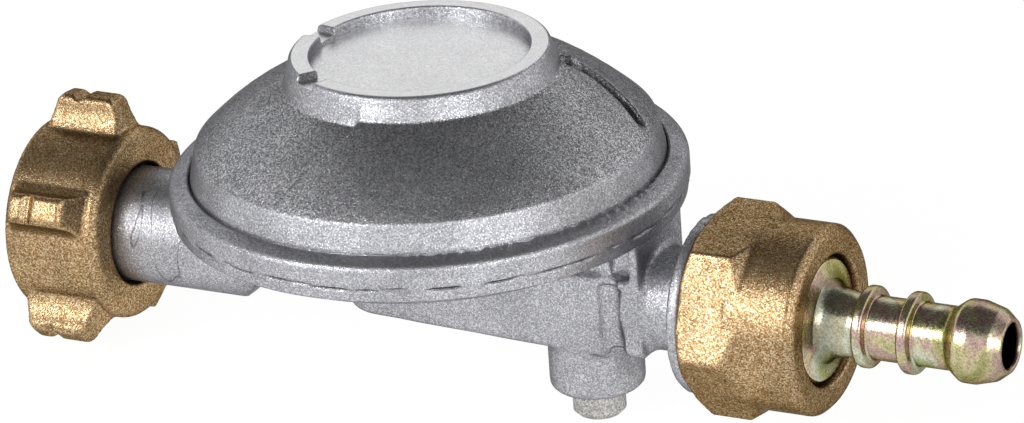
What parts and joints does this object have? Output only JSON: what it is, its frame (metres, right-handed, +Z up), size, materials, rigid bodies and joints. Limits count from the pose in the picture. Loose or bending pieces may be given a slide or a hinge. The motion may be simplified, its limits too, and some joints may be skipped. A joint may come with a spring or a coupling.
{
  "type": "low pressure gas regulator with hose tail",
  "caption": "Diaphragm gas regulator with a round crimped body, a lugged union nut at the inlet and a hexagon union nut holding a barbed hose tail at the outlet.",
  "frame": {"origin": "middle of the inlet nut's mouth, at the plane of its front face, on the gas line's axis", "axes": "+X along the gas line from inlet to outlet, +Z up the axis of the round cover, +Y to the left of the gas flow"},
  "size_m": [0.1484, 0.072, 0.0512],
  "materials": {
    "casting": "matte",
    "cap_plate": "satin",
    "ring_casting": "matte",
    "nut_brass": "satin",
    "nipple_brass": "satin",
    "nozzle_brass": "satin",
    "stem_brass": "satin",
    "plunger_brass": "satin",
    "filter_bronze": "matte",
    "tail_steel": "satin",
    "spring_steel": "satin",
    "washer_steel": "satin",
    "pressed_steel": "satin",
    "lever_steel": "satin",
    "pin_steel": "satin",
    "screw_steel": "satin",
    "plug_metal": "satin",
    "seal_rubber": "matte",
    "gasket_rubber": "matte",
    "pad_rubber": "matte",
    "diaphragm_rubber": "matte"
  },
  "bodies": {
    "regulator_body": {"body_casting": "casting", "cover_casting": "casting", "spring_cap": "cap_plate", "adjusting_ring": "ring_casting", "main_spring": "spring_steel", "diaphragm": "diaphragm_rubber", "inlet_nipple": "nipple_brass", "inlet_filter": "filter_bronze", "inlet_seal": "seal_rubber", "orifice_nozzle": "nozzle_brass", "lever_bracket": "pressed_steel", "lever_pin": "pin_steel", "bracket_screws": "screw_steel", "passage_plug": "plug_metal", "outlet_gasket": "gasket_rubber"},
    "diaphragm_group": {"diaphragm_stem": "stem_brass", "diaphragm_washer": "pressed_steel", "diaphragm_plate": "pressed_steel"},
    "valve_lever": {"lever": "lever_steel"},
    "valve": {"valve_plunger": "plunger_brass", "valve_pad": "pad_rubber"},
    "inlet_washer": {"nut_slip_washer": "washer_steel"},
    "inlet_union_nut": {"inlet_nut": "nut_brass"},
    "outlet_tail": {"hose_tail": "tail_steel"},
    "outlet_union_nut": {"outlet_nut": "nut_brass"}
  },
  "joints": [
    {"name": "diaphragm_stroke", "type": "slide", "parent": "regulator_body", "child": "diaphragm_group", "axis": [0, 0, 1], "range_m": [0, 0.003], "stiffness_N_per_m": 1500, "springref_m": -0.005, "deforming": ["main_spring", "diaphragm"]},
    {"name": "lever_pivot", "type": "hinge", "parent": "regulator_body", "child": "valve_lever", "pos_m": [0.0762, 0, 0.0065], "axis": [0, 1, 0], "range_deg": [0, 12.2]},
    {"name": "valve_slide", "type": "slide", "parent": "regulator_body", "child": "valve", "axis": [-1, 0, 0], "range_m": [0, 0.0014]},
    {"name": "inlet_nut_float", "type": "slide", "parent": "regulator_body", "child": "inlet_washer", "axis": [1, 0, 0], "range_m": [0, 0.0105]},
    {"name": "inlet_nut_spin", "type": "hinge", "parent": "inlet_washer", "child": "inlet_union_nut", "pos_m": [0, 0, 0], "axis": [1, 0, 0], "continuous": true},
    {"name": "hose_tail_slide", "type": "slide", "parent": "regulator_body", "child": "outlet_tail", "axis": [1, 0, 0], "range_m": [0, 0.0105]},
    {"name": "outlet_nut_turn", "type": "hinge", "parent": "outlet_tail", "child": "outlet_union_nut", "pos_m": [0.1041, 0, 0], "axis": [1, 0, 0], "range_deg": [0, 2520]}
  ],
  "couplings": [
    {"joint": "lever_pivot", "follows": "diaphragm_stroke", "rad_per_m": 70.4},
    {"joint": "valve_slide", "follows": "diaphragm_stroke", "ratio": 0.4533},
    {"joint": "outlet_nut_turn", "follows": "hose_tail_slide", "rad_per_m": 4188.8}
  ]
}
